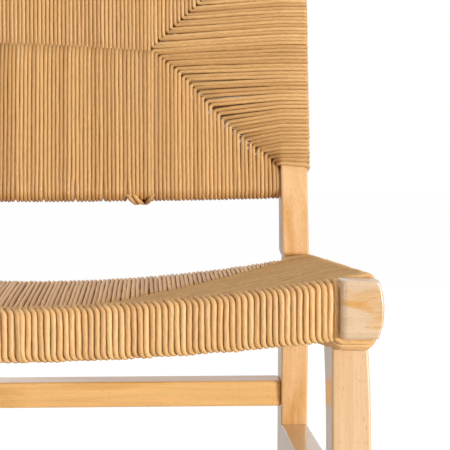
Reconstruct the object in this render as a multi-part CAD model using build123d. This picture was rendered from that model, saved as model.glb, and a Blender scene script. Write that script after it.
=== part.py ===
"""Rigid side chair with a sagging cord-woven seat and a cord-woven back.

Millimetres, X to the right seen from the front, Y to the back, Z up from the floor. While the
pieces are made, Y = 0 is the front face of the front legs. At the end the chair moves along Y, so
that the origin lies on the floor under the middle of its bounding box.
"""

import math
import os

from build123d import *

# Stance
inner_width = 471.0            # between the inner faces of the left and right legs
leg_width = 25.5               # side to side, of legs, posts, side rails and side stretchers
total_height = 808.0
post_setback = 406.0           # front face of the rear posts, at the bend
bend_height = 455.0            # where the rear posts turn, just above the seat
rake = 5.5                     # degrees that the rear posts lean back below the bend, going down
recline = 11.0                 # degrees that they lean back above it, going up
edge_round = 2.0               # eased long edges of the legs, posts and stretchers

# Front legs
leg_top = 410.5                # also the underside of the side rails
leg_top_depth = 56.0
knee_height = 341.0            # above it the back edge sweeps out under the side rail
knee_depth = 40.0
leg_foot_depth = 36.0
leg_swell = 2.4                # how much wider the legs are below the knee than at the top

# Rear posts
post_foot_depth = 38.0
post_seat_depth = 46.0
post_back_depth = 34.0         # where the bottom rail of the back joins
post_tip_depth = 28.0
post_tip_swell = 2.0           # how much the inner side grows from the bend to the tip
sweep_height = 330.0           # the back edge curves from here to the bottom rail of the back
waist_depth = 2.6              # hollow in the inner side, beside the seat
waist_margin = 2.8             # its deep part goes this far past the rear rail's cord
waist_sweep = 12.0             # height over which it curves in
waist_lead = 0.5               # how far ahead of the face its curves start, to cut it cleanly
tip_round = 2.0

# Cord
cord_thickness = 2.6           # as it lies pressed on the wood
cord_gap = 0.3                 # clearance between cord and wood
room_cut = 0.38                # flat cuts of the room in the cord, as a share of the wood's rounding

# Side rails: a bare bulged block in front, cord behind it
block_overhang = 52.0          # block face ahead of the front legs
block_top = 460.4
block_bottom = 421.2
block_bulge = 3.6
block_round = 1.8
block_inner_round = 4.5        # its upright edge beside the front rail
rebate = 1.2                   # the wrapped length is this much smaller than the block
side_rail_rear_top = 448.2
wrap_round = 5.0               # rounding of the wood under the cord

# Front and rear seat rails
front_rail_recess = 7.8        # its bare front face behind the block face
front_rail_drop = 1.8          # its end tops below the block top
front_rail_sag = 19.1
front_rail_end_depth = 36.8
front_rail_mid_depth = 31.6
seat_rail_thickness = 21.0
rear_rail_inset = 4.9          # behind the front face of the posts
rear_rail_end_top = 443.3
rear_rail_sag = 19.5
rear_rail_depth = 32.0

# Back, measured along the recline
back_gap = 57.5                # from the bend to the bottom rail
back_rail_height = 25.0
back_rail_thickness = 18.0
back_rail_inset = 6.5          # behind the front face of the posts
back_rail_bow = 3.0            # how far the outer edges of the back rails bow away from the opening
back_tip_margin = 11.1         # from the top rail to the tips of the posts

# Stretchers
cross_bottom = 303.4           # of the front and rear stretchers
cross_height = 24.8
rear_stretcher_depth = 41.5
front_stretcher_depth = 26.0
stretcher_inset = 4.0          # behind the front faces of the legs and posts
shoulder_cut = 1.4             # eased ends of the front and rear stretchers
side_stretcher_bottom = 258.0
side_stretcher_height = 28.0

# Joints
tenon_thickness = 9.0
tenon_length = 16.0
tenon_shoulder = 5.0           # wood left above and below a tenon
leg_tenon_height = 28.0
leg_tenon_margin = 12.0
rear_tenon_length = 26.0       # of the side rails, into the posts
rear_tenon_shift = 5.0         # outwards, so that they pass the rear rail's tenons
joint_gap = 0.15               # glue line round a tenon
tenon_root = 4.0               # length of a tenon that is inside its own rail or stretcher
tenon_web = 0.6                # wood between two tenons that pass each other in a post

# Weave: the layers above and below the pockets meet along the mitres and the ridge
seat_ridge_top = 418.0
seat_ridge_bottom = 405.0
seat_corner_top = 443.0        # start of the mitres in the corners
seat_corner_bottom = 417.0
crest_dip = 0.6                # how far the panels start below the crest of the wraps
seat_ridge_half = 18.0         # half the length of the ridge between the mitres
panel_steps = 3                # flat strips of a panel of the seat
back_ridge_half = 4.6          # half thickness where the two layers meet
back_corner_half = 10.0
packing_thickness = 3.0
packing_margin = 16.0


def post_front(z):
    """Y of the rear posts' front face at height z."""
    if z < bend_height:
        return post_setback + (bend_height - z) * math.tan(math.radians(rake))
    return post_setback + (z - bend_height) * math.tan(math.radians(recline))


# Worked out from the above
half_inner = inner_width / 2
half_outer = half_inner + leg_width
leg_middle = half_inner + leg_width / 2
half_tenon = tenon_thickness / 2
cord_outer = cord_gap + cord_thickness
front_rail_front = front_rail_recess - block_overhang
front_rail_back = front_rail_front + seat_rail_thickness
front_rail_end_top = block_top - front_rail_drop
rear_rail_front = post_front(rear_rail_end_top) + rear_rail_inset
rear_rail_back = rear_rail_front + seat_rail_thickness
rear_rail_half = half_inner + waist_depth
bottom_rail_top = back_gap + back_rail_height
post_run = (total_height - bend_height) / math.cos(math.radians(recline))
top_rail_top = post_run - back_tip_margin
top_rail_bottom = top_rail_top - back_rail_height
back_ridge_length = inner_width - (top_rail_bottom - bottom_rail_top)
cross_top = cross_bottom + cross_height
side_stretcher_top = side_stretcher_bottom + side_stretcher_height
recline_frame = Pos(0, post_setback, bend_height) * Rot(-recline, 0, 0)


def from_side(edges, x_low, x_high):
    """Extrude a closed (Y, Z) outline between two X values."""
    face = Plane.YZ.offset(x_low) * make_face(edges)
    return extrude(face, x_high - x_low, dir=(1, 0, 0))


def from_front(edges, y_low, y_high):
    """Extrude a closed (X, Z) outline between two Y values."""
    face = Plane.XZ.offset(-y_low) * make_face(edges)
    return extrude(face, y_high - y_low, dir=(0, 1, 0))


def box_between(low, high, grow=0.0):
    size = [b - a + 2 * grow for a, b in zip(low, high)]
    middle = [(a + b) / 2 for a, b in zip(low, high)]
    return Pos(*middle) * Box(*size)


def round_long_edges(solid, shortest, radius):
    return fillet([edge for edge in solid.edges() if edge.length > shortest], radius)


def cut_long_edges(solid, shortest, radius):
    """Flat cuts that only touch the rounding of that radius, for the room round a rounded piece."""
    return chamfer([edge for edge in solid.edges() if edge.length > shortest], radius * (2 - math.sqrt(2)))


def to_left(solid):
    return mirror(solid, about=Plane.YZ)


# Tenons of the right side, as pairs of corners

leg_tenon = (
    (leg_middle - half_tenon, leg_tenon_margin, leg_top - tenon_root),
    (leg_middle + half_tenon, leg_top_depth - leg_tenon_margin, leg_top + leg_tenon_height),
)
side_rail_tenon = (
    (
        leg_middle + rear_tenon_shift - half_tenon / 2,
        post_setback - tenon_root,
        leg_top + tenon_shoulder,
    ),
    (
        leg_middle + rear_tenon_shift + half_tenon / 2,
        post_setback + rear_tenon_length,
        side_rail_rear_top - tenon_shoulder,
    ),
)


def cross_tenon(end_x, y_middle, z_low, z_high):
    """Tenon that runs outwards along X into a leg, post or side rail."""
    return (
        (half_inner - tenon_root, y_middle - half_tenon, z_low + tenon_shoulder),
        (end_x, y_middle + half_tenon, z_high - tenon_shoulder),
    )


front_rail_tenon = cross_tenon(
    half_inner + tenon_length,
    (front_rail_front + front_rail_back) / 2,
    block_bottom,
    front_rail_end_top,
)
rear_rail_tenon = cross_tenon(
    side_rail_tenon[0][0] - tenon_web,
    (rear_rail_front + rear_rail_back) / 2,
    rear_rail_end_top - rear_rail_depth,
    rear_rail_end_top,
)
back_rail_middle = back_rail_inset + back_rail_thickness / 2
bottom_rail_tenon = cross_tenon(
    half_inner + tenon_length, back_rail_middle, back_gap, bottom_rail_top
)
top_rail_tenon = cross_tenon(
    half_inner + tenon_length, back_rail_middle, top_rail_bottom, top_rail_top
)
rear_stretcher_front = post_front(cross_bottom) + stretcher_inset
rear_stretcher_tenon = cross_tenon(
    half_inner + tenon_length,
    rear_stretcher_front + rear_stretcher_depth / 2,
    cross_bottom,
    cross_top,
)
front_stretcher_tenon = cross_tenon(
    half_inner + tenon_length,
    stretcher_inset + front_stretcher_depth / 2,
    cross_bottom,
    cross_top,
)


def leg_depth(z):
    """Depth of a front leg below the knee."""
    return leg_foot_depth + (knee_depth - leg_foot_depth) * z / knee_height


side_stretcher_low_z = side_stretcher_bottom + tenon_shoulder
side_stretcher_high_z = side_stretcher_top - tenon_shoulder
side_stretcher_front = leg_depth(side_stretcher_top)
side_stretcher_back = post_front(side_stretcher_top)
side_front_tenon = (
    (leg_middle - half_tenon, side_stretcher_front - tenon_length, side_stretcher_low_z),
    (leg_middle + half_tenon, side_stretcher_front + tenon_root, side_stretcher_high_z),
)
side_rear_tenon = (
    (leg_middle - half_tenon, side_stretcher_back - tenon_root, side_stretcher_low_z),
    (leg_middle + half_tenon, side_stretcher_back + tenon_length, side_stretcher_high_z),
)


def leg_blank():
    knee = (knee_depth, knee_height)
    side = Curve() + [
        Polyline((0, leg_top), (0, 0), (leg_foot_depth, 0), knee),
        TangentArc(knee, (leg_top_depth, leg_top), tangent=(knee_depth - leg_foot_depth, knee_height)),
        Line((leg_top_depth, leg_top), (0, leg_top)),
    ]
    swollen = half_outer + leg_swell
    front = Curve() + [
        Polyline((half_inner, leg_top), (half_inner, 0), (swollen, 0), (swollen, knee_height)),
        TangentArc((swollen, knee_height), (half_outer, leg_top), tangent=(0, 1)),
        Line((half_outer, leg_top), (half_inner, leg_top)),
    ]
    blank = from_side(side, half_inner, swollen) & from_front(front, 0, leg_top_depth)
    return round_long_edges(blank, leg_top_depth + leg_swell, edge_round)


def make_front_leg():
    leg = leg_blank() + box_between(*leg_tenon)
    for mortise in (front_stretcher_tenon, side_front_tenon):
        leg -= box_between(*mortise, joint_gap)
    return leg


def post_blank(grow=0.0):
    """Bent rear post, or with grow the same shape that much larger all round."""
    join_height = bend_height + back_gap * math.cos(math.radians(recline))
    low = (post_front(sweep_height) + post_seat_depth + grow, sweep_height)
    high = (post_front(join_height) + post_back_depth + grow, join_height)
    tip = (post_front(total_height) + post_tip_depth + grow, total_height + grow)
    foot = (post_front(0) + post_foot_depth + grow, -grow)
    sweep = Spline(
        low,
        high,
        tangents=[(low[0] - foot[0], low[1] - foot[1]), (tip[0] - high[0], tip[1] - high[1])],
    )
    side = Curve() + [
        Polyline(
            tip,
            (post_front(total_height) - grow, total_height + grow),
            (post_setback - grow, bend_height),
            (post_front(0) - grow, -grow),
            foot,
            low,
        ),
        sweep,
        Line(high, tip),
    ]
    front = Polyline(
        (half_inner - grow, -grow),
        (half_inner - grow, bend_height),
        (half_inner - post_tip_swell - grow, total_height + grow),
        (half_outer + grow, total_height + grow),
        (half_outer + grow, -grow),
        close=True,
    )
    reach = half_inner - post_tip_swell - grow
    depth = post_front(total_height) + post_seat_depth + grow
    blank = from_side(side, reach, half_outer + grow) & from_front(front, post_setback - grow, depth)
    return round_long_edges(blank, post_seat_depth + 3 * grow, edge_round + grow)


def waist_cutter():
    """Hollow beside the seat, curved in at both ends."""
    reach = cord_outer + waist_margin + waist_sweep
    high = rear_rail_end_top + reach
    low = rear_rail_end_top - rear_rail_depth - reach
    deep, clear = half_inner + waist_depth, half_inner - leg_width
    start = half_inner - waist_lead
    outline = Curve() + [
        TangentArc((start, high), (deep, high - waist_sweep), tangent=(0, -1)),
        Line((deep, high - waist_sweep), (deep, low + waist_sweep)),
        TangentArc((start, low), (deep, low + waist_sweep), tangent=(0, 1)),
        Polyline((start, low), (clear, low), (clear, high), (start, high)),
    ]
    return from_front(outline, post_setback - leg_width, post_setback + 2 * post_seat_depth)


def make_rear_post():
    post = post_blank() - waist_cutter()
    post = fillet(post.faces().sort_by(Axis.Z)[-1].edges(), tip_round)
    for mortise in (side_rail_tenon, rear_rail_tenon, rear_stretcher_tenon, side_rear_tenon):
        post -= box_between(*mortise, joint_gap)
    for mortise in (bottom_rail_tenon, top_rail_tenon):
        post -= recline_frame * box_between(*mortise, joint_gap)
    return post


def side_rail_top(y):
    """Height of the bare side rail's top along its wrapped length."""
    start_top = block_top - rebate
    slope = (side_rail_rear_top - start_top) / (post_setback - front_rail_back)
    return start_top + slope * (y - front_rail_back)


def behind_post_front(x_low, grow=0.0):
    """Everything outwards of x_low that is not ahead of the raked front face of a post."""
    front = [(post_front(z) - grow, z) for z in (0, bend_height)]
    back = [(y + inner_width, z) for y, z in reversed(front)]
    return from_side(Polyline(*front, *back, close=True), x_low, inner_width)


def side_rail_core(grow, y_low):
    """Wrapped length of a side rail: sloping top, haunch ahead of the leg, bulged outer side."""
    inner = half_inner + rebate - grow
    outer = half_outer - rebate + grow
    bottom = leg_top - grow
    start, end = front_rail_back - wrap_round, rear_rail_front + wrap_round
    top_start, top_end = side_rail_top(start) + grow, side_rail_top(end) + grow
    haunch = block_bottom + rebate - grow
    side = Curve() + [
        Polyline((start, haunch), (start, top_start), (end, top_end), (end, bottom), (0, bottom)),
        TangentArc((0, bottom), (start, haunch), tangent=(-1, 0)),
    ]
    middle = (leg_top + block_top) / 2
    half_height = (block_top - leg_top) / 2
    radius = (half_height**2 + block_bulge**2) / (2 * block_bulge) + grow
    reach = half_height + wrap_round + grow
    edge_x = outer + block_bulge - radius + math.sqrt(radius**2 - reach**2)
    high, low = middle + reach, middle - reach
    front = Curve() + [
        Polyline((edge_x, low), (inner, low), (inner, high), (edge_x, high)),
        ThreePointArc((edge_x, high), (outer + block_bulge, middle), (edge_x, low)),
    ]
    core = from_side(side, inner, outer + reach) & from_front(front, start, end)
    for is_top in (False, True):
        rounded = [
            edge
            for edge in core.edges()
            if abs((edge @ 1 - edge @ 0).Y) > leg_width / 2
            and ((edge @ 0).Z > middle) == is_top
            and ((edge @ 1).Z > middle) == is_top
        ]
        if grow == cord_gap:
            core = chamfer(rounded, room_cut * (wrap_round + grow))
        else:
            core = fillet(rounded, wrap_round + grow)
    return core & box_between((0, y_low, 0), (inner_width, total_height, total_height))


def make_side_rail():
    front = Curve() + [
        Polyline(
            (half_outer, block_bottom),
            (half_inner, block_bottom),
            (half_inner, block_top),
            (half_outer, block_top),
        ),
        ThreePointArc(
            (half_outer, block_top),
            (half_outer + block_bulge, (block_top + block_bottom) / 2),
            (half_outer, block_bottom),
        ),
    ]
    head = from_front(front, -block_overhang, front_rail_back)
    upright = head.edges().filter_by(Axis.Z).filter_by(lambda edge: edge.center().Y < front_rail_front)
    head = fillet(upright, block_inner_round)
    soft_edges = head.edges().filter_by(Axis.Z, reverse=True)
    head = fillet([edge for edge in soft_edges if edge.center().Y < front_rail_front], block_round)
    rail = head + (side_rail_core(0.0, front_rail_back) - behind_post_front(0))
    rail += box_between(*side_rail_tenon)
    for mortise in (front_rail_tenon, leg_tenon):
        rail -= box_between(*mortise, joint_gap)
    return rail


def arc_height(x, end, middle):
    """Height at x of an arc that has the height end beside the legs and middle in the middle."""
    rise = end - middle
    radius = (half_inner**2 + rise**2) / (2 * abs(rise))
    return middle + math.copysign(radius - math.sqrt(radius**2 - x**2), rise)


def sagging_bar(half_width, ends, middles, y_low, y_high, grow):
    """Bar along X whose top and bottom, as (top, bottom) heights, sag from its ends to its middle."""
    high, low = (arc_height(half_width, *pair) for pair in zip(ends, middles))
    top = ThreePointArc((-half_width, high), (0, middles[0]), (half_width, high))
    bottom = ThreePointArc((half_width, low), (0, middles[1]), (-half_width, low))
    outline = Curve() + [top, Line(top @ 1, bottom @ 0), bottom, Line(bottom @ 1, top @ 0)]
    soften = cut_long_edges if grow == cord_gap else round_long_edges
    return soften(from_front(outline, y_low, y_high), half_width, wrap_round + grow)


front_rail_ends = (front_rail_end_top, front_rail_end_top - front_rail_end_depth)
front_rail_middles = (
    front_rail_end_top - front_rail_sag,
    front_rail_end_top - front_rail_sag - front_rail_mid_depth,
)
rear_rail_ends = (rear_rail_end_top, rear_rail_end_top - rear_rail_depth)
rear_rail_middles = tuple(z - rear_rail_sag for z in rear_rail_ends)


def front_rail_bar(grow, half_width):
    ends = (front_rail_ends[0] + grow, front_rail_ends[1] - grow)
    middles = (front_rail_middles[0] + grow, front_rail_middles[1] - grow)
    low, high = front_rail_front - grow, front_rail_back + grow
    return sagging_bar(half_width, ends, middles, low, high, grow)


def rear_rail_bar(grow, half_width):
    ends = (rear_rail_ends[0] + grow, rear_rail_ends[1] - grow)
    middles = (rear_rail_middles[0] + grow, rear_rail_middles[1] - grow)
    low, high = rear_rail_front - grow, rear_rail_back + grow
    return sagging_bar(half_width, ends, middles, low, high, grow)


def back_rail_bar(grow, half_width, inner_z, outer_z):
    """Back rail in the upright frame of the back: straight at the opening, bowed on the far side."""
    away = math.copysign(1, outer_z - inner_z)
    inner = inner_z - away * grow
    middle = outer_z + away * (grow + back_rail_bow)
    outer = arc_height(half_width, outer_z + away * grow, middle)
    bow = ThreePointArc((-half_width, outer), (0, middle), (half_width, outer))
    ends = Polyline((half_width, outer), (half_width, inner), (-half_width, inner), (-half_width, outer))
    y_low, y_high = back_rail_inset - grow, back_rail_inset + back_rail_thickness + grow
    bar = from_front(Curve() + [bow, ends], y_low, y_high)
    soften = cut_long_edges if grow == cord_gap else round_long_edges
    return soften(bar, half_width, wrap_round + grow)


back_rail_edges = ((bottom_rail_top, back_gap), (top_rail_bottom, top_rail_top))


def with_tenons(bar, tenon):
    right = box_between(*tenon)
    return bar + right + to_left(right)


def cross_stretcher(y_front, depth, tenon):
    bar = box_between(
        (-half_inner, y_front, cross_bottom),
        (half_inner, y_front + depth, cross_top),
    )
    bar = fillet(bar.edges().filter_by(Axis.X), edge_round)
    end_edges = [edge for edge in bar.edges() if abs(edge.center().X) > half_inner - 0.1]
    return with_tenons(chamfer(end_edges, shoulder_cut), tenon)


def make_side_stretcher():
    bar = box_between(
        (half_inner, leg_foot_depth / 2, side_stretcher_bottom),
        (half_outer, side_stretcher_back + post_foot_depth / 2, side_stretcher_top),
    )
    bar = fillet(bar.edges().filter_by(Axis.Y), edge_round)
    bar = bar - leg_blank() - post_blank()
    return bar + box_between(*side_front_tenon) + box_between(*side_rear_tenon)


def make_back_rail(bar, tenon):
    """Reclined back rail, its ends cut to the inner faces of the posts."""
    rail = recline_frame * bar
    for post in (post_blank(), to_left(post_blank())):
        rail -= post
    right = recline_frame * box_between(*tenon)
    return rail + right + to_left(right)


def panel(outer, inner):
    """Layers of cord as a flat-faced solid, from (upper, lower) points at a rail to those at a mitre."""
    outlines = [(outer[0][i], inner[0][i], inner[1][i], outer[1][i]) for i in (0, -1)]
    outlines += [(*upper, *reversed(lower)) for upper, lower in (outer, inner)]
    for rail_row, mitre_row in zip(outer, inner):
        for i in range(len(rail_row) - 1):
            outlines.append((rail_row[i], rail_row[i + 1], mitre_row[i]))
            outlines.append((rail_row[i + 1], mitre_row[i + 1], mitre_row[i]))
    faces = [make_face(Polyline(*outline, close=True)).face() for outline in outlines]
    return Solid(Shell(faces))


def straight_rows(first, last, upper, lower, steps=1):
    """Upper and lower points between two plan points, with (first, last) heights for each."""
    rows = []
    for start, end in (upper, lower):
        corner, run = Vector(*first, start), Vector(*last, end) - Vector(*first, start)
        rows.append([corner + run * (i / steps) for i in range(steps + 1)])
    return rows


seat_ridge_y = (front_rail_back + rear_rail_front) / 2


def crest_rows(y, ends, middles, x_first, x_last, steps=1):
    """Upper and lower crest points of the wraps on a sagging rail, between two X values."""
    grow = cord_outer - crest_dip
    rows = []
    for end, mid, rise in ((ends[0], middles[0], grow), (ends[1], middles[1], -grow)):
        places = [x_first + (x_last - x_first) * i / steps for i in range(steps + 1)]
        rows.append([Vector(x, y, arc_height(x, end, mid) + rise) for x in places])
    return rows


def side_crest(y):
    return side_rail_top(y) + cord_outer - crest_dip


def seat_panels():
    ridge = (-seat_ridge_half, seat_ridge_y), (seat_ridge_half, seat_ridge_y)
    ridge_rows = straight_rows(*ridge, (seat_ridge_top,) * 2, (seat_ridge_bottom,) * 2)
    bottom = leg_top - cord_outer + crest_dip
    body = []
    rails = (
        (front_rail_back, (front_rail_front + front_rail_back) / 2, front_rail_ends, front_rail_middles),
        (rear_rail_front, (rear_rail_front + rear_rail_back) / 2, rear_rail_ends, rear_rail_middles),
    )
    for corner_y, rail_y, ends, middles in rails:
        corner = (half_inner, corner_y)
        mitre = (ridge[1], corner, (seat_ridge_top, seat_corner_top), (seat_ridge_bottom, seat_corner_bottom))
        middle_rows = crest_rows(rail_y, ends, middles, -seat_ridge_half, seat_ridge_half)
        rail_rows = crest_rows(rail_y, ends, middles, seat_ridge_half, half_inner, panel_steps)
        side_rows = straight_rows(
            (leg_middle, seat_ridge_y),
            (leg_middle, corner_y),
            (side_crest(seat_ridge_y), side_crest(corner_y)),
            (bottom, bottom),
            panel_steps,
        )
        mitre_rows = straight_rows(*mitre, panel_steps)
        body.append(panel(middle_rows, ridge_rows))
        body.append(panel(rail_rows, mitre_rows))
        body.append(panel(side_rows, mitre_rows))
    return body


def packing(grow=0.0):
    """Cardboard pads in the four pockets of the seat, each against its rail."""
    half = packing_thickness / 2 + grow
    inner_z = (seat_ridge_top + seat_ridge_bottom) / 2

    def pad(outer, inner, outer_z):
        rim = [(*point, outer_z - half) for point in outer]
        rim += [(*point, inner_z - half) for point in reversed(inner)]
        return extrude(make_face(Polyline(*rim, close=True)), 2 * half, dir=(0, 0, 1))

    side_x = half_inner + rebate - cord_gap + grow
    long_side = half_inner - 2 * packing_margin + grow
    short_side = seat_ridge_half + grow
    pads = {}
    for name, corner_y, inward in (("front", front_rail_back, 1), ("rear", rear_rail_front, -1)):
        outer_y = corner_y + inward * (cord_gap - grow)
        inner_y = seat_ridge_y - inward * (packing_margin - grow)
        rail_z = sum(front_rail_middles if inward > 0 else rear_rail_middles) / 2
        pads[name] = pad(
            ((-long_side, outer_y), (long_side, outer_y)),
            ((-short_side, inner_y), (short_side, inner_y)),
            rail_z + packing_thickness,
        )
    run = (rear_rail_front - front_rail_back) / 2 - 2 * packing_margin + grow
    tip = seat_ridge_half + packing_margin - grow
    pads["right"] = pad(
        ((side_x, seat_ridge_y - run), (side_x, seat_ridge_y + run)),
        ((tip, seat_ridge_y - packing_margin / 4), (tip, seat_ridge_y + packing_margin / 4)),
        (side_crest(seat_ridge_y) + leg_top) / 2 - packing_thickness,
    )
    pads["left"] = to_left(pads["right"])
    return pads


def right_half(solid):
    return solid & box_between((0, -inner_width, 0), (inner_width, 2 * inner_width, 2 * total_height))


def make_seat_weave():
    """One body of cord round the four rails, made on the right and mirrored."""
    weave = right_half(front_rail_bar(cord_outer, half_inner - cord_gap))
    weave += side_rail_core(cord_outer, front_rail_back + cord_gap)
    for piece in seat_panels():
        weave += right_half(piece)
    weave -= behind_post_front(half_inner - cord_gap, cord_gap)
    weave += right_half(rear_rail_bar(cord_outer, rear_rail_half - cord_gap))
    weave -= front_rail_bar(cord_gap, half_outer)
    weave -= rear_rail_bar(cord_gap, half_outer)
    weave -= side_rail_core(cord_gap, front_rail_front) - behind_post_front(0, -cord_gap)
    weave -= box_between(
        (half_inner - cord_gap, -cord_gap, leg_top - wrap_round),
        (inner_width, leg_top_depth + cord_gap, leg_top + cord_gap),
    )
    weave -= box_between(
        (half_inner - cord_gap, -block_overhang, leg_top),
        (inner_width, front_rail_back + cord_gap, block_top + block_round),
    )
    for pad in packing(cord_gap).values():
        weave -= pad
    return weave + to_left(weave)


def back_panels():
    """Panels of the back in its upright frame: X, then along the recline, then the thickness."""
    upright = Rot(90, 0, 0)
    ridge_z = (bottom_rail_top + top_rail_bottom) / 2
    near, far = back_rail_middle - back_ridge_half, back_rail_middle + back_ridge_half
    corner_near = back_rail_middle - back_corner_half
    corner_far = back_rail_middle + back_corner_half
    ridge = (-back_ridge_length / 2, ridge_z), (back_ridge_length / 2, ridge_z)
    ridge_rows = straight_rows(*ridge, (-near, -near), (-far, -far))
    lift = cord_outer - crest_dip
    rail_near = back_rail_inset - lift
    rail_far = back_rail_inset + back_rail_thickness + lift
    body = []
    for corner_z, rail_z, post_far in (
        (bottom_rail_top, bottom_rail_top - back_rail_height / 2, post_back_depth),
        (top_rail_bottom, top_rail_bottom + back_rail_height / 2, post_tip_depth),
    ):
        corner = (half_inner, corner_z)
        mitre = straight_rows(ridge[1], corner, (-near, -corner_near), (-far, -corner_far))
        reach = back_ridge_length / 2
        layers = (-rail_near,) * 2, (-rail_far,) * 2
        body.append(panel(straight_rows((-reach, rail_z), (reach, rail_z), *layers), ridge_rows))
        body.append(panel(straight_rows((reach, rail_z), (half_inner, rail_z), *layers), mitre))
        post_rows = straight_rows(
            (leg_middle, ridge_z),
            (leg_middle, corner_z),
            (lift, lift),
            (-(post_back_depth + post_tip_depth) / 2, -post_far),
        )
        body.append(panel(post_rows, mitre))
    return [recline_frame * upright * piece for piece in body]


def make_back_weave():
    """One body of cord round the back rails and the posts between them."""
    between_rails = recline_frame * box_between(
        (0, -post_seat_depth, bottom_rail_top + 2 * cord_gap),
        (inner_width, 2 * post_seat_depth, top_rail_bottom - 2 * cord_gap),
    )
    post_room = post_blank(cord_gap)
    rail_rooms = [recline_frame * back_rail_bar(cord_gap, half_outer, *edges) for edges in back_rail_edges]
    sleeves = [recline_frame * back_rail_bar(cord_outer, half_inner, *edges) for edges in back_rail_edges]
    weave = (post_blank(cord_outer) - post_room) & between_rails
    for piece in sleeves + back_panels():
        piece = right_half(piece) - post_room
        for room in rail_rooms:
            piece -= room
        weave += piece
    return weave + to_left(weave)


nodes = {
    "front_leg_right": make_front_leg(),
    "rear_post_right": make_rear_post(),
    "seat_side_rail_right": make_side_rail(),
    "side_stretcher_right": make_side_stretcher(),
}
for name in list(nodes):
    nodes[name.replace("right", "left")] = to_left(nodes[name])
nodes["seat_front_rail"] = with_tenons(front_rail_bar(0.0, half_inner), front_rail_tenon)
nodes["seat_rear_rail"] = with_tenons(rear_rail_bar(0.0, rear_rail_half), rear_rail_tenon)
for name, edges, tenon in zip(
    ("back_bottom_rail", "back_top_rail"), back_rail_edges, (bottom_rail_tenon, top_rail_tenon)
):
    nodes[name] = make_back_rail(back_rail_bar(0.0, half_inner, *edges), tenon)
nodes["rear_stretcher"] = cross_stretcher(
    rear_stretcher_front, rear_stretcher_depth, rear_stretcher_tenon
)
nodes["front_stretcher"] = cross_stretcher(
    stretcher_inset, front_stretcher_depth, front_stretcher_tenon
)
for name, pad in packing().items():
    nodes[f"seat_packing_{name}"] = pad
nodes["seat_weave"] = make_seat_weave()
nodes["back_weave"] = make_back_weave()

boxes = [solid.bounding_box() for solid in nodes.values()]
middle_y = (min(box.min.Y for box in boxes) + max(box.max.Y for box in boxes)) / 2
os.makedirs("parts", exist_ok=True)
for name, solid in nodes.items():
    export_step(Pos(0, -middle_y, 0) * solid, f"parts/{name}.step")
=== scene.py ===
import math
import random

import bpy
from mathutils import Matrix, Vector


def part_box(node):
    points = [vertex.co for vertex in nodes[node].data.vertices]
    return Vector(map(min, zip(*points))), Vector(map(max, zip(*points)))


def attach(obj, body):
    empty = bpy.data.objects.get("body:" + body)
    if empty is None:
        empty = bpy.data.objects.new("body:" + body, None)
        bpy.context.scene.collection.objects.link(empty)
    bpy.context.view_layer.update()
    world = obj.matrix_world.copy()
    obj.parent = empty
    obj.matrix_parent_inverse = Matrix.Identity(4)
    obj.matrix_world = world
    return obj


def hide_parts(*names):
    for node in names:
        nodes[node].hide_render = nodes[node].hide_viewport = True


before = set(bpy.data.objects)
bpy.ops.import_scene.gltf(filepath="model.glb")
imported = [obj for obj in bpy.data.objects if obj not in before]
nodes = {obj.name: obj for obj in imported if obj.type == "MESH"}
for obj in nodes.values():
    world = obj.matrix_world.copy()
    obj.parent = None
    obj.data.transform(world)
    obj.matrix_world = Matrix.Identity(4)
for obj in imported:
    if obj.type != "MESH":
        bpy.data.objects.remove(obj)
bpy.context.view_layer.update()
print("frame loaded:", len(nodes), "nodes")

mm = 0.001
wavePeriod = 0.314       # a wave texture of scale 1 repeats after this
# all sizes below are in millimetres with Y = 0 at the front face of the front legs
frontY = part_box("front_leg_right")[0].y / mm


def toScene(x, y, z):
    return Vector((x * mm, (y + frontY) * mm, z * mm))


def addNode(tree, kind, settings=None, inputs=None):
    node = tree.nodes.new(kind)
    for name, value in (settings or {}).items():
        setattr(node, name, value)
    for name, value in (inputs or {}).items():
        socket = node.inputs[name]
        if isinstance(value, bpy.types.NodeSocket):
            tree.links.new(value, socket)
        else:
            socket.default_value = value
    return node


def hexColour(code):
    # sRGB hex to linear
    parts = [int(code[i:i + 2], 16) / 255 for i in (1, 3, 5)]
    linear = [c / 12.92 if c <= 0.04045 else ((c + 0.055) / 1.055) ** 2.4 for c in parts]
    return (*linear, 1.0)


def setRamp(node, stops):
    ramp = node.color_ramp
    while len(ramp.elements) > 1:
        ramp.elements.remove(ramp.elements[-1])
    ramp.elements[0].position = stops[0][0]
    ramp.elements[0].color = stops[0][1]
    for position, colour in stops[1:]:
        ramp.elements.new(position).color = colour
    return node


def grey(value):
    return (value, value, value, 1.0)


# pale hardwood under a satin varnish: honey and peach, straight grain, short dark pores
beech = {
    # each tone: the pale and the dark part of a growth ring. The tones differ partly as the boards do
    # and partly as painted light and shade: a piece that these lamps light too brightly has a darker
    # tone, one that they leave too dark a paler tone
    "peach": ("#DAB488", "#D0A471"),
    "honey": ("#E0B17A", "#D69F60"),
    "amber": ("#E5B571", "#DBA25C"),
    "rose": ("#D1B391", "#C3A17B"),
    "streak": "#CB9243",
    "pore": "#94683C",
    "ringSpacing": 9.0,      # between growth rings
    "poreLength": 5.5,
    "poreWidth": 0.42,
    "patch": (22.0, 170.0),  # width and length of a warm streak
    "shortPatch": (10.0, 34.0),
    "warpSize": (34.0, 300.0), "warpDepth": 26.0,   # how the rings wander
    "fibre": (0.9, 60.0), "fibreTone": (0.9, 1.06),
    "poreLimits": (0.71, 0.79), "poreDepth": 0.55,  # how much of the noise is pore, and how dark
    "roughness": 0.36, "varnish": 0.85,
}


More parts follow.
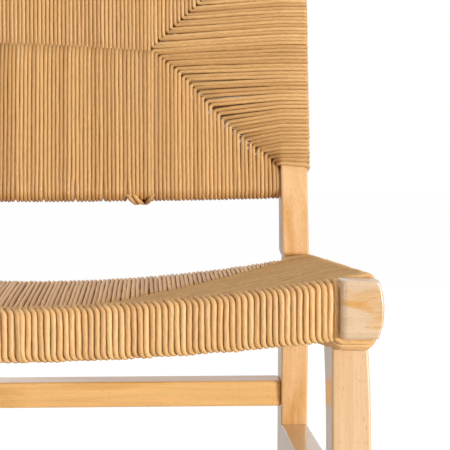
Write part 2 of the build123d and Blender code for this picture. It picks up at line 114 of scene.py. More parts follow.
def makeBeech(name, grain, seed, tone, streaks, patch, varnish=beech["varnish"]):
    # grain is the axis that the fibres run along
    material = bpy.data.materials.new(name)
    material.use_nodes = True
    tree = material.node_tree
    tree.nodes.clear()
    rng = random.Random(seed)
    turn = {"X": (0, math.pi / 2, 0), "Y": (math.pi / 2, 0, 0), "Z": (0, 0, 0)}[grain]
    place = addNode(tree, "ShaderNodeTexCoord")
    inMm = addNode(tree, "ShaderNodeMapping", inputs={
        "Vector": place.outputs["Object"],
        "Location": (rng.uniform(30, 70), rng.uniform(30, 70), rng.uniform(0, 900)),
        "Rotation": turn,
        "Scale": (1 / mm, 1 / mm, 1 / mm),
    }).outputs["Vector"]

    def stretched(across, along, detail=2.0, rough=0.5, distortion=0.0):
        squeezed = addNode(tree, "ShaderNodeVectorMath", {"operation": "MULTIPLY"}, {
            0: inMm, 1: (1 / across, 1 / across, 1 / along)})
        return addNode(tree, "ShaderNodeTexNoise", inputs={
            "Vector": squeezed.outputs[0], "Scale": 1.0, "Detail": detail,
            "Roughness": rough, "Distortion": distortion}).outputs["Fac"]

    warp = stretched(*beech["warpSize"])
    warped = addNode(tree, "ShaderNodeVectorMath", {"operation": "MULTIPLY_ADD"}, {
        0: warp, 1: (beech["warpDepth"], beech["warpDepth"], 0.0), 2: inMm}).outputs[0]
    rings = addNode(tree, "ShaderNodeTexWave",
                    {"wave_type": "RINGS", "rings_direction": "Z", "wave_profile": "SAW"}, {
                        "Vector": warped, "Scale": wavePeriod / beech["ringSpacing"],
                        "Distortion": 1.4, "Detail": 2.0, "Detail Scale": 0.6}).outputs["Fac"]
    ringTone = addNode(tree, "ShaderNodeMapRange", inputs={
        "Value": rings, "From Min": 0.25, "From Max": 1.0, "To Min": 0.0, "To Max": 0.45})
    pale, dark = (hexColour(code) for code in beech[tone])
    body = addNode(tree, "ShaderNodeMix", {"data_type": "RGBA"}, {
        0: ringTone.outputs[0], 6: pale, 7: dark})
    patches = addNode(tree, "ShaderNodeMapRange", inputs={
        "Value": stretched(*beech[patch], 3.0, 0.55, 0.6),
        "From Min": 0.5, "From Max": 0.7, "To Min": 0.0, "To Max": streaks})
    patched = addNode(tree, "ShaderNodeMix", {"data_type": "RGBA"}, {
        0: patches.outputs[0], 6: body.outputs[2], 7: hexColour(beech["streak"])})
    fibres = stretched(*beech["fibre"], 3.0, 0.6)
    fibreTone = addNode(tree, "ShaderNodeMapRange", inputs={
        "Value": fibres, "From Min": 0.3, "From Max": 0.7,
        "To Min": beech["fibreTone"][0], "To Max": beech["fibreTone"][1]})
    fibred = addNode(tree, "ShaderNodeVectorMath", {"operation": "SCALE"}, {
        0: patched.outputs[2], "Scale": fibreTone.outputs[0]})
    pores = setRamp(addNode(tree, "ShaderNodeValToRGB", inputs={
        "Fac": stretched(beech["poreWidth"], beech["poreLength"], 0.0)}),
        [(0.0, grey(0)), (beech["poreLimits"][0], grey(0)), (beech["poreLimits"][1], grey(1))])
    pored = addNode(tree, "ShaderNodeMix", {"data_type": "RGBA"}, {
        0: addNode(tree, "ShaderNodeMath", {"operation": "MULTIPLY"}, {
            0: pores.outputs["Color"], 1: beech["poreDepth"]}).outputs[0],
        6: fibred.outputs[0], 7: hexColour(beech["pore"])})
    gloss = addNode(tree, "ShaderNodeMapRange", inputs={
        "Value": fibres, "From Min": 0.3, "From Max": 0.7,
        "To Min": beech["roughness"] - 0.05, "To Max": beech["roughness"] + 0.07})
    height = addNode(tree, "ShaderNodeMath", {"operation": "SUBTRACT"}, {
        0: fibres, 1: pores.outputs["Color"]})
    bump = addNode(tree, "ShaderNodeBump", inputs={
        "Strength": 0.35, "Distance": 0.08 * mm, "Height": height.outputs[0]})
    shader = addNode(tree, "ShaderNodeBsdfPrincipled", inputs={
        "Base Color": pored.outputs[2], "Roughness": gloss.outputs[0],
        "Normal": bump.outputs["Normal"], "IOR": 1.5,
        "Coat Weight": varnish, "Coat Roughness": 0.12})
    addNode(tree, "ShaderNodeOutputMaterial", inputs={"Surface": shader.outputs["BSDF"]})
    return material


# grain axis, seed, tone (partly the board's own colour, partly painted light and shade), share of
# streaks, kind of streak, and the varnish's weight where the full one would shine too white
woodPieces = {
    "front_leg_right": ("Z", 11, "peach", 0.35, "patch"),
    "front_leg_left": ("Z", 12, "peach", 0.35, "patch"),
    "rear_post_right": ("Z", 13, "honey", 0.8, "patch"),
    "rear_post_left": ("Z", 14, "honey", 0.6, "patch"),
    "seat_side_rail_right": ("X", 15, "rose", 0.9, "shortPatch", 0.45),
    "seat_side_rail_left": ("X", 16, "rose", 0.9, "shortPatch", 0.45),
    "seat_front_rail": ("X", 17, "honey", 0.5, "patch"),
    "seat_rear_rail": ("X", 18, "honey", 0.5, "patch"),
    "back_bottom_rail": ("X", 19, "honey", 0.5, "patch"),
    "back_top_rail": ("X", 20, "honey", 0.5, "patch"),
    "rear_stretcher": ("X", 21, "amber", 0.75, "patch", 0.3),
    "front_stretcher": ("X", 22, "honey", 0.5, "patch"),
    "side_stretcher_right": ("Y", 23, "peach", 0.5, "patch"),
    "side_stretcher_left": ("Y", 24, "peach", 0.5, "patch"),
}


def paintNode(node, material):
    node.data.materials.clear()
    node.data.materials.append(material)
    node.data.polygons.foreach_set("material_index", [0] * len(node.data.polygons))


for pieceName, finish in woodPieces.items():
    paintNode(nodes[pieceName], makeBeech("varnishedBeech_" + pieceName, *finish))
print("wood finished:", len(woodPieces), "pieces")


# grey-brown corrugated card, hardly seen between the cords
cardFinish = {
    "pulp": ("#8D6F4B", "#A98A62"), "pulpScale": 400.0, "roughness": 0.9,
    "fluteScale": 45.0,      # flutes about 7 mm apart
    "fluteDepth": 0.4,
}


def makeCard():
    material = bpy.data.materials.new("packingCard")
    material.use_nodes = True
    tree = material.node_tree
    tree.nodes.clear()
    place = addNode(tree, "ShaderNodeTexCoord")
    flutes = addNode(tree, "ShaderNodeTexWave", {"bands_direction": "X"}, {
        "Vector": place.outputs["Object"], "Scale": cardFinish["fluteScale"], "Distortion": 0.4})
    pulp = addNode(tree, "ShaderNodeTexNoise", inputs={
        "Vector": place.outputs["Object"], "Scale": cardFinish["pulpScale"], "Detail": 3.0})
    dark, pale = (hexColour(code) for code in cardFinish["pulp"])
    tone = addNode(tree, "ShaderNodeMix", {"data_type": "RGBA"}, {
        0: pulp.outputs["Fac"], 6: dark, 7: pale})
    bump = addNode(tree, "ShaderNodeBump", inputs={
        "Strength": 0.4, "Distance": cardFinish["fluteDepth"] * mm,
        "Height": flutes.outputs["Fac"]})
    shader = addNode(tree, "ShaderNodeBsdfPrincipled", inputs={
        "Base Color": tone.outputs[2], "Roughness": cardFinish["roughness"],
        "Normal": bump.outputs["Normal"]})
    addNode(tree, "ShaderNodeOutputMaterial", inputs={"Surface": shader.outputs["BSDF"]})
    return material


card = makeCard()
for side in ("front", "rear", "left", "right"):
    paintNode(nodes["seat_packing_" + side], card)


# three-ply paper cord, waxed: tan and gold, a faint slanting ply, soft shine
cordFinish = {
    # the darkest and the palest cord; one cord, but set paler on the seat, which this light
    # leaves too dark
    "seat": ("#CC9B61", "#E5B678"),
    "back": ("#BE8F56", "#D5A86C"),
    "plySpacing": 7.5,       # between two grooves along the cord
    "plies": 3,
    "fibreLength": 9.0, "fibreAround": 1.6, "fibreScale": 1.6,
    "strandStep": 57.0,      # keeps the fibres of neighbouring cords unlike
    # the groove tone is painted shade: the ply's grooves are set darker than its crests
    "fibreTone": (0.8, 1.12), "paintedGrooveShade": 0.95,
    "bumpDepth": 0.3, "grooveShare": 0.18,      # of the bump, beside the fibres
    "roughness": 0.55,
}


def makeCord(name, batch):
    material = bpy.data.materials.new(name)
    material.use_nodes = True
    tree = material.node_tree
    tree.nodes.clear()
    along = addNode(tree, "ShaderNodeAttribute", {"attribute_name": "cordAlong"}).outputs["Fac"]
    around = addNode(tree, "ShaderNodeAttribute", {"attribute_name": "cordAround"})
    tone = addNode(tree, "ShaderNodeAttribute", {"attribute_name": "cordTone"}).outputs["Fac"]
    parts = addNode(tree, "ShaderNodeSeparateXYZ", inputs={0: around.outputs["Vector"]})
    angle = addNode(tree, "ShaderNodeMath", {"operation": "ARCTAN2"}, {
        0: parts.outputs["Y"], 1: parts.outputs["X"]})
    # a ply's groove: sine of plies * angle + turns along the cord
    turned = addNode(tree, "ShaderNodeMath", {"operation": "MULTIPLY"}, {
        0: angle.outputs[0], 1: float(cordFinish["plies"])})
    phase = addNode(tree, "ShaderNodeMath", {"operation": "MULTIPLY_ADD"}, {
        0: along, 1: 2 * math.pi / (cordFinish["plySpacing"] * mm),
        2: turned.outputs[0]})
    groove = addNode(tree, "ShaderNodeMath", {"operation": "SINE"}, {0: phase.outputs[0]})
    grain = addNode(tree, "ShaderNodeCombineXYZ", inputs={
        "X": addNode(tree, "ShaderNodeMath", {"operation": "MULTIPLY"}, {
            0: along, 1: 1 / (cordFinish["fibreLength"] * mm)}).outputs[0],
        "Y": addNode(tree, "ShaderNodeMath", {"operation": "MULTIPLY"}, {
            0: angle.outputs[0], 1: cordFinish["fibreAround"]}).outputs[0],
        "Z": addNode(tree, "ShaderNodeMath", {"operation": "MULTIPLY"}, {
            0: tone, 1: cordFinish["strandStep"]}).outputs[0]})
    fibre = addNode(tree, "ShaderNodeTexNoise", inputs={
        "Vector": grain.outputs[0], "Scale": cordFinish["fibreScale"],
        "Detail": 3.0, "Roughness": 0.6}).outputs["Fac"]
    deep, pale = (hexColour(code) for code in cordFinish[batch])
    strand = setRamp(addNode(tree, "ShaderNodeValToRGB", inputs={"Fac": tone}),
                     [(0.0, deep), (1.0, pale)])
    fibreTone = addNode(tree, "ShaderNodeMapRange", inputs={
        "Value": fibre, "From Min": 0.3, "From Max": 0.7,
        "To Min": cordFinish["fibreTone"][0], "To Max": cordFinish["fibreTone"][1]})
    # painted shade: the cord's colour is darkened by up to 5 % in the ply's grooves
    paintedGrooveShade = addNode(tree, "ShaderNodeMapRange", inputs={
        "Value": groove.outputs[0], "From Min": -1.0, "From Max": -0.2,
        "To Min": cordFinish["paintedGrooveShade"], "To Max": 1.0})
    shade = addNode(tree, "ShaderNodeMath", {"operation": "MULTIPLY"}, {
        0: fibreTone.outputs[0], 1: paintedGrooveShade.outputs[0]})
    colour = addNode(tree, "ShaderNodeVectorMath", {"operation": "SCALE"}, {
        0: strand.outputs["Color"], "Scale": shade.outputs[0]})
    height = addNode(tree, "ShaderNodeMath", {"operation": "MULTIPLY_ADD"}, {
        0: groove.outputs[0], 1: cordFinish["grooveShare"], 2: fibre})
    bump = addNode(tree, "ShaderNodeBump", inputs={
        "Strength": 0.35, "Distance": cordFinish["bumpDepth"] * mm,
        "Height": height.outputs[0]})
    shader = addNode(tree, "ShaderNodeBsdfPrincipled", inputs={
        "Base Color": colour.outputs[0], "Roughness": cordFinish["roughness"],
        "Normal": bump.outputs["Normal"], "Specular IOR Level": 0.5})
    addNode(tree, "ShaderNodeOutputMaterial", inputs={"Surface": shader.outputs["BSDF"]})
    return material


# how a cord wanders and swells: waves to the metre, and a step that sets each cord apart
cordShape = {"swayScale": 42.0, "swellScale": 90.0, "cordStep": 311.0}


def makeCordTree(name):
    # sweeps a round cord along every line of the mesh it is given
    tree = bpy.data.node_groups.new(name, "GeometryNodeTree")
    face = tree.interface
    face.new_socket("Geometry", in_out="INPUT", socket_type="NodeSocketGeometry")
    for label, start in (("Cord Diameter", 0.004), ("Waviness", 0.0004), ("Plumpness", 0.08)):
        face.new_socket(label, in_out="INPUT", socket_type="NodeSocketFloat").default_value = start
    face.new_socket("Sides", in_out="INPUT", socket_type="NodeSocketInt").default_value = 6
    face.new_socket("Seed", in_out="INPUT", socket_type="NodeSocketInt").default_value = 3
    face.new_socket("Material", in_out="INPUT", socket_type="NodeSocketMaterial")
    face.new_socket("Geometry", in_out="OUTPUT", socket_type="NodeSocketGeometry")
    given = addNode(tree, "NodeGroupInput").outputs
    lines = addNode(tree, "GeometryNodeMeshToCurve", inputs={"Mesh": given["Geometry"]})
    tone = addNode(tree, "FunctionNodeRandomValue", {"data_type": "FLOAT"}, {
        "ID": addNode(tree, "GeometryNodeInputIndex").outputs[0], "Seed": given["Seed"]})
    toned = addNode(tree, "GeometryNodeStoreNamedAttribute",
                    {"data_type": "FLOAT", "domain": "CURVE"}, {
                        "Geometry": lines.outputs["Curve"], "Name": "cordTone",
                        "Value": tone.outputs[1]})
    own = addNode(tree, "GeometryNodeInputNamedAttribute", {"data_type": "FLOAT"}, {
        "Name": "cordTone"})
    apart = addNode(tree, "ShaderNodeMath", {"operation": "MULTIPLY"}, {
        0: own.outputs[0], 1: cordShape["cordStep"]})
    where = addNode(tree, "GeometryNodeInputPosition")
    drift = addNode(tree, "ShaderNodeTexNoise", {"noise_dimensions": "4D"}, {
        "Vector": where.outputs[0], "W": apart.outputs[0],
        "Scale": cordShape["swayScale"], "Detail": 1.0})
    centred = addNode(tree, "ShaderNodeVectorMath", {"operation": "SUBTRACT"}, {
        0: drift.outputs["Color"], 1: (0.5, 0.5, 0.5)})
    sway = addNode(tree, "ShaderNodeVectorMath", {"operation": "SCALE"}, {
        0: centred.outputs[0], "Scale": given["Waviness"]})
    waved = addNode(tree, "GeometryNodeSetPosition", inputs={
        "Geometry": toned.outputs[0], "Offset": sway.outputs[0]})
    swell = addNode(tree, "ShaderNodeTexNoise", {"noise_dimensions": "4D"}, {
        "Vector": where.outputs[0], "W": apart.outputs[0],
        "Scale": cordShape["swellScale"], "Detail": 0.0})
    share = addNode(tree, "ShaderNodeMath", {"operation": "SUBTRACT"}, {
        0: swell.outputs["Fac"], 1: 0.5})
    plump = addNode(tree, "ShaderNodeMath", {"operation": "MULTIPLY_ADD"}, {
        0: share.outputs[0], 1: given["Plumpness"], 2: 1.0})
    sized = addNode(tree, "GeometryNodeSetCurveRadius", inputs={
        "Curve": waved.outputs[0], "Radius": plump.outputs[0]})
    run = addNode(tree, "GeometryNodeSplineParameter")
    measured = addNode(tree, "GeometryNodeStoreNamedAttribute",
                       {"data_type": "FLOAT", "domain": "POINT"}, {
                           "Geometry": sized.outputs[0], "Name": "cordAlong",
                           "Value": run.outputs["Length"]})
    half = addNode(tree, "ShaderNodeMath", {"operation": "MULTIPLY"}, {
        0: given["Cord Diameter"], 1: 0.5})
    ring = addNode(tree, "GeometryNodeCurvePrimitiveCircle", inputs={
        "Resolution": given["Sides"], "Radius": half.outputs[0]})
    spot = addNode(tree, "GeometryNodeInputPosition")
    unit = addNode(tree, "ShaderNodeVectorMath", {"operation": "NORMALIZE"}, {
        0: spot.outputs[0]})
    marked = addNode(tree, "GeometryNodeStoreNamedAttribute",
                     {"data_type": "FLOAT_VECTOR", "domain": "POINT"}, {
                         "Geometry": ring.outputs[0], "Name": "cordAround",
                         "Value": unit.outputs[0]})
    swept = addNode(tree, "GeometryNodeCurveToMesh", inputs={
        "Curve": measured.outputs[0], "Profile Curve": marked.outputs[0], "Fill Caps": True})
    smooth = addNode(tree, "GeometryNodeSetShadeSmooth", inputs={"Geometry": swept.outputs[0]})
    real = addNode(tree, "GeometryNodeRealizeInstances", inputs={
        "Geometry": smooth.outputs[0]})
    coated = addNode(tree, "GeometryNodeSetMaterial", inputs={
        "Geometry": real.outputs[0], "Material": given["Material"]})
    addNode(tree, "NodeGroupOutput", inputs={"Geometry": coated.outputs[0]})
    return tree


cordTree = makeCordTree("cordAlongLines")


def sweepCords(name, lines, settings):
    # lines: lists of points in scene units, each with a flag that says if it is closed
    points, edges = [], []
    for line, closed in lines:
        first = len(points)
        points += line
        edges += [(i, i + 1) for i in range(first, len(points) - 1)]
        if closed:
            edges.append((len(points) - 1, first))
    lineMesh = bpy.data.meshes.new(name + "Lines")
    lineMesh.from_pydata(points, edges, [])
    carrier = bpy.data.objects.new(name + "Lines", lineMesh)
    bpy.context.scene.collection.objects.link(carrier)
    modifier = carrier.modifiers.new("cords", "NODES")
    modifier.node_group = cordTree
    sockets = {s.name: s.identifier for s in cordTree.interface.items_tree
               if s.item_type == "SOCKET" and s.in_out == "INPUT"}
    for label, value in settings.items():
        modifier[sockets[label]] = value
    bpy.context.view_layer.update()
    evaluated = carrier.evaluated_get(bpy.context.evaluated_depsgraph_get())
    mesh = bpy.data.meshes.new_from_object(evaluated)
    mesh.name = name
    piece = bpy.data.objects.new(name, mesh)
    bpy.context.scene.collection.objects.link(piece)
    bpy.data.objects.remove(carrier)
    bpy.data.meshes.remove(lineMesh)
    triangles = sum(len(p.vertices) - 2 for p in mesh.polygons)
    print(name, len(lines), "cords,", triangles, "triangles")
    return piece


def convexHull(points):
    ordered = sorted(set(points))

    def half(sequence):
        chain = []
        for p in sequence:
            while len(chain) > 1:
                (ax, ay), (bx, by) = chain[-2], chain[-1]
                if (bx - ax) * (p[1] - ay) - (by - ay) * (p[0] - ax) > 1e-9:
                    break
                chain.pop()
            chain.append(p)
        return chain[:-1]

    return half(ordered) + half(reversed(ordered))


def tautHalf(section, top, bottom):
    # a cord pulled tight from top, round the rail's section, to bottom
    hull = convexHull(section + [top, bottom])
    if top not in hull or bottom not in hull:
        return [top, bottom]
    at = hull.index(top)
    turned = hull[at:] + hull[:at]
    return turned if turned[-1] == bottom else [turned[0]] + turned[:0:-1]


def roundCorner(centre, radius, steps=18):
    return [(centre[0] + radius * math.cos(2 * math.pi * i / steps),
             centre[1] + radius * math.sin(2 * math.pi * i / steps)) for i in range(steps)]


def boxSection(uLow, uHigh, vLow, vHigh, woodRound, lift):
    points = []
    for u in (uLow + woodRound, uHigh - woodRound):
        for v in (vLow + woodRound, vHigh - woodRound):
            points += roundCorner((u, v), woodRound + lift)
    return points


def divide(path, longest, bulge=0.0, lift=None):
    # adds points on long runs; the run's middle rises by bulge along lift
    result = [path[0]]
    for a, b in zip(path, path[1:]):
        gap = (b - a).length
        pieces = max(1, math.ceil(gap / (longest * mm)))
        for k in range(1, pieces + 1):
            share = k / pieces
            point = a.lerp(b, share)
            if lift is not None and k < pieces:
                rise = bulge * math.sin(math.pi * share) * min(1, gap / mm / weave["bulgeRun"])
                point = point + lift * (rise * mm)
            result.append(point)
    return result


weave = {
    "halfInner": 235.5, "halfOuter": 261.0, "cordThickness": 2.9,
    "seatCords": 52, "seatMiddleCords": 10, "seatDiameter": 4.15,
    "frontFace": -44.2, "frontBack": -23.2,
    "frontEnd": (458.6, 421.8), "frontMiddle": (439.5, 407.9),
    "rearFace": 412.0, "rearBack": 433.0,
    "rearEnd": (443.3, 411.3), "rearMiddle": (423.8, 391.8),
    "sideInner": 236.7, "sideOuter": 259.8, "sideBulge": 3.6,
    "sideTop": (460.8, 450.0), "sideBottom": 410.5, "sideTopRound": 3.5, "sideTopFall": 2.5,
    "blockTop": 460.4, "haunchTop": 422.4, "haunchStart": -28.2,
    "postFront": 406.0,
    "woodRound": 5.0,
    "cornerTop": 443.0, "ridgeTop": 414.5, "mitreSag": 1.2, "cornerLow": 417.0, "ridgeLow": 405.0,
    "bulges": (1.0, -0.4),    # of the runs to the front and rear rails, and to the side rails
    "bulgeRun": 120.0,        # a shorter run bulges less
    "jointEnds": (-1.5, 58.0), "jointRise": 3.2, "jointRound": 0.8,     # beside the front leg's joint
    "clear": 0.3,             # between the outermost cord's space and the wood
    "leanRun": 14.0,          # the lean grows over this far from the corner
    "ridgeOver": 1.2, "ridgeStep": 0.6,     # the middle turns: past the ridge's ends, short of its line
    "lean": 3.2, "leanDepth": 6.0, "slide": 0.5, "seed": 7,
    "squeezed": (1.3, 0.6),  # how deep the first cords beside the bare rail end are pressed
}
radius = weave["seatDiameter"] / 2
lift = weave["cordThickness"] - radius


def sagHeight(x, end, middle):
    sag = end - middle
    r = (weave["halfInner"] ** 2 + sag ** 2) / (2 * sag)
    return middle + r - math.sqrt(r ** 2 - x ** 2)


def railSection(x, face, back, ends, middles):
    top = sagHeight(x, ends[0], middles[0])
    low = sagHeight(x, ends[1], middles[1])
    return boxSection(face, back, low, top, weave["woodRound"], lift)


def frontSection(x, sink=0.0):
    # sink presses the cord into the rail's face
    face = weave["frontFace"] + sink
    return railSection(x, face, weave["frontBack"], weave["frontEnd"], weave["frontMiddle"])


def rearSection(x):
    return railSection(x, weave["rearFace"], weave["rearBack"], weave["rearEnd"], weave["rearMiddle"])


def sideSection(y):
    run = (y - weave["frontBack"]) / (weave["postFront"] - weave["frontBack"])
    top = weave["sideTop"][0] + run * (weave["sideTop"][1] - weave["sideTop"][0])
    low, lowRound = weave["sideBottom"], weave["woodRound"]
    jointFront, jointRear = weave["jointEnds"]
    if jointFront < y < jointRear:
        # over the front leg the cords are squeezed into the joint
        low, lowRound = weave["sideBottom"] + weave["jointRise"], weave["jointRound"]
    elif y <= jointFront:
        rise = weave["haunchTop"] - low
        r = (weave["haunchStart"] ** 2 + rise ** 2) / (2 * rise)
        low = low + r - math.sqrt(r ** 2 - y ** 2)
    middle = (weave["sideBottom"] + weave["blockTop"]) / 2
    halfHeight = (weave["blockTop"] - weave["sideBottom"]) / 2
    r = (halfHeight ** 2 + weave["sideBulge"] ** 2) / (2 * weave["sideBulge"])
    centre = weave["sideOuter"] + weave["sideBulge"] - r
    points = []
    topRound = weave["sideTopRound"]
    corners = ((top - topRound, topRound, weave["sideTopFall"]), (low + lowRound, lowRound, 0.0))
    for z, rounding, fall in corners:
        points += roundCorner((weave["sideInner"] + rounding, z - fall), rounding + lift)
        across = centre + math.sqrt((r - rounding) ** 2 - (z - middle) ** 2)
        points += roundCorner((across, z), rounding + lift)
    for k in range(9):
        z = low + lowRound + (top - topRound - low - lowRound) * k / 8
        points.append((centre + math.sqrt((r + lift) ** 2 - (z - middle) ** 2), z))
    return points


longestTop, longestLow = 20.0, 36.0     # longest straight bits of cord
longestWrap = (7.0, 30.0)               # the same round the cross rail and round the side rail


def seatMitre(share):
    top = weave["cornerTop"] + (weave["ridgeTop"] - weave["cornerTop"]) * share - radius
    top -= weave["mitreSag"] * math.sin(math.pi * share)
    low = weave["cornerLow"] + (weave["ridgeLow"] - weave["cornerLow"]) * share + radius
    return top, low


# where a cord turns at the mitre: how far from it the bend begins, at most what share
# of a short run, how deep the turn dips, and how far it is drawn in
mitreTurn = {"reach": 3.2, "shortShare": 0.45, "dip": 1.5, "drawn": 0.9}


def closeLoop(first, second, bulges, up, slide, reach=mitreTurn["reach"], dip=mitreTurn["dip"]):
    # first and second run from the shared top point to the shared bottom point;
    # slide moves the upper turn a little, as no two cords lie quite alike
    def bendFrom(at, after):
        run = after - at
        return run.normalized() * min(reach * mm, run.length * mitreTurn["shortShare"])

    def dressed(path, bulge, wrapStep):
        near = path[0] + slide + bendFrom(path[0], path[1])
        far = path[-1] + bendFrom(path[-1], path[-2])
        top = divide([near, path[1]], longestTop, bulge, up)
        wrap = divide(path[1:-1], wrapStep)
        low = divide([path[-2], far], longestLow)
        return top + wrap[1:-1] + low

    a = dressed(first, bulges[0], longestWrap[0])
    b = dressed(second, bulges[1], longestWrap[1])
    inward = (first[1] - first[0]).normalized() + (second[1] - second[0]).normalized()
    toward = inward * mitreTurn["drawn"] * mm
    topPoint = first[0] + slide + toward - up * dip * mm
    lowPoint = first[-1] + toward + up * dip * mm
    # starts underneath, where the pattern's seam is out of sight
    return [lowPoint] + b[::-1] + [topPoint] + a


def leaned(section, x, ends, amount):
    # on the rail's top the cord lies to the left and underneath to the right,
    # and it crosses the face upright in between
    path = tautHalf(section, *ends)
    face = min(u for u, v in path)
    heights = [v for u, v in path]
    middle = (max(heights) + min(heights)) / 2
    points = []
    for k, (u, v) in enumerate(path):
        share = min(1.0, (u - face) / weave["leanDepth"])
        ease = share * share * (3 - 2 * share)
        shift = (-1 if v > middle else 1) * amount * ease if 0 < k < len(path) - 1 else 0.0
        points.append(toScene(x + shift, u, v))
    return points


def seatLines():
    lines = []
    rng = random.Random(weave["seed"])
    count = weave["seatCords"]
    startX = weave["halfInner"] - weave["clear"]
    frontStart, rearStart = weave["frontBack"] + weave["clear"], weave["postFront"] - weave["clear"]
    run = (rearStart - frontStart) / 2
    ridgeY = frontStart + run
    endX = startX - run
    up = Vector((0, 0, 1))
    for side in (1, -1):
        for startY, direction, section in ((frontStart, 1, frontSection), (rearStart, -1, rearSection)):
            for i in range(count):
                share = (i + 0.5) / count
                x = startX - run * share
                y = startY + direction * run * share
                top, low = seatMitre(share)
                grown = min(1.0, run * share / weave["leanRun"])
                amount = weave["lean"] * grown if direction > 0 else 0.0
                if direction > 0 and i < len(weave["squeezed"]):
                    rail = frontSection(x, weave["squeezed"][i])
                else:
                    rail = section(x)
                crossRail = leaned(rail, side * x, ((y, top), (y, low)), amount)
                sideRail = [toScene(side * u, y, v)
                            for u, v in tautHalf(sideSection(y), (x, top), (x, low))]
                along = rng.uniform(-1, 1) * weave["slide"] * mm
                slide = Vector((-side * along, direction * along, 0))
                lines.append((closeLoop(crossRail, sideRail, weave["bulges"], up, slide), True))
    middle = weave["seatMiddleCords"]
    top, low = seatMitre(1.0)
    ridgeReach = endX + weave["ridgeOver"]
    for i in range(middle):
        x = -ridgeReach + 2 * ridgeReach * (i + 0.5) / middle
        for direction, section in ((1, frontSection), (-1, rearSection)):
            y = ridgeY - direction * weave["ridgeStep"]
            amount = weave["lean"] if direction > 0 else 0.0
            path = leaned(section(x), x, ((y, top), (y, low)), amount)
            upper = divide(path[:2], longestTop, weave["bulges"][0], up)
            wrap = divide(path[1:-1], longestWrap[0])[1:-1]
            lower = divide(path[-2:], longestLow)
            lines.append(((upper + wrap + lower)[::-1], True))
    return lines


seatWeave = sweepCords("seatCordWeave", seatLines(), {
    "Cord Diameter": weave["seatDiameter"] * mm, "Waviness": 2.0 * mm, "Plumpness": 0.22,
    "Sides": 6, "Seed": 5,
    "Material": makeCord("twistedPaperCordOfSeat", "seat")})
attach(seatWeave, "root")
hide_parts("seat_weave")


back = {
    "setback": 406.0, "bend": 455.0, "lean": 11.0,
    "bottom": (57.5, 82.5), "top": (323.5, 348.5), "bow": 3.0,
    "railNear": 6.5, "railFar": 24.5,
    "postDepth": (33.4, 27.5), "postRound": 2.0, "swell": 2.0, "length": 359.6,
    "cords": 33, "middleCords": 57, "diameter": 4.05,
    "ridgeEnd": 109.0, "ridgeHeight": 209.0, "ridgeTilt": -0.04, "ridgeBow": -0.000136,
    "cornerHalf": 10.0, "ridgeHalf": 4.6, "crowding": 1.5, "interlock": 0.5, "seed": 4,
    "bulge": 0.6, "clear": 0.6, "ridgeOver": 0.8, "interlockFade": 20.0,
    "slideTurn": 1.6, "farGrowth": 4.0,     # how fast the slide turns upright and the shift grows
    "turnReach": 2.4, "turnDip": 0.7,   # how far from the mitre a cord bends, and how deep it dips
    # how far the lower mitre wanders up: share of the way from the corner to the ridge, rise
    "mitreSway": (
        (0.0, 2.8), (0.12, 2.0), (0.24, -1.6), (0.42, -3.2), (0.62, 2.0), (0.8, 4.6), (1.0, 0.6)),
    "farShift": -5.0,        # of the pattern behind, so that few gaps of the two layers line up
    "postRise": (1.7, 5.0),  # the cords lie higher on the post: at the corner, beside the ridge's end
    # the lowest cords round the post sink towards its outer side, more steeply at its edge
    "lastDrop": (2.6, 1.0), "dropCurve": 5,
    "splits": (-76.0, -50.0, -21.0, 7.0, 35.0, 63.5, 88.0),     # the cords part here, under the rail
    "splitWidth": 0.9, "splitReach": 6.0,
    "tucks": ((87.0, 99.5), (112.0, 101.5), (93.0, 106.0)),     # knotted ends below the rail
    "tuckStep": 5.0,
    "railRound": 7.0,
}
backRadius = back["diameter"] / 2
backLift = weave["cordThickness"] - backRadius
lean = math.radians(back["lean"])


def onBack(x, t, s):
    # x across, t through the thickness, s up the reclined back
    return toScene(x, back["setback"] + t * math.cos(lean) + s * math.sin(lean),
                   back["bend"] - t * math.sin(lean) + s * math.cos(lean))


def backRailSection(x, low, high, outerIsLow):
    bow = back["bow"] * (1 - (x / weave["halfInner"]) ** 2)
    low, high = (low - bow, high) if outerIsLow else (low, high + bow)
    return boxSection(back["railNear"], back["railFar"], low, high, back["railRound"], backLift)


def postSection(s):
    share = (s - back["bottom"][0]) / (back["length"] - back["bottom"][0])
    depth = back["postDepth"][0] + share * (back["postDepth"][1] - back["postDepth"][0])
    inner = weave["halfInner"] - back["swell"] * s / back["length"]
    return boxSection(inner, weave["halfOuter"], 0.0, depth, back["postRound"], backLift)


def ridgeAt(x):
    return back["ridgeHeight"] + back["ridgeTilt"] * x + back["ridgeBow"] * x * x


def mitreSway(share):
    stops = back["mitreSway"]
    for (a, low), (b, high) in zip(stops, stops[1:]):
        if share <= b:
            return low + (high - low) * (share - a) / (b - a)
    return stops[-1][1]


def strandShift(x, v):
    if v > back["bottom"][0] + back["splitReach"]:
        return x
    # beside each split the cords are pushed apart, less the farther they lie
    shift = 0.0
    for at in back["splits"]:
        push = back["splitWidth"] * math.exp(-abs(x - at) / back["splitReach"])
        shift += math.copysign(push, x - at)
    return x + shift


def tuckLine(start, end):
    low = back["bottom"][0] - back["bow"]
    near, far = back["railNear"], back["railFar"]
    path = ((near + 1.5, low + 2.5), (near - 0.4, low - 1.2), (near + 2.0, low - 3.6),
            ((near + far) / 2, low - 4.2), (far - 2.0, low - 3.0), (far, low + 3.0))
    return [onBack(start + (end - start) * k / (len(path) - 1), u, v) for k, (u, v) in enumerate(path)]


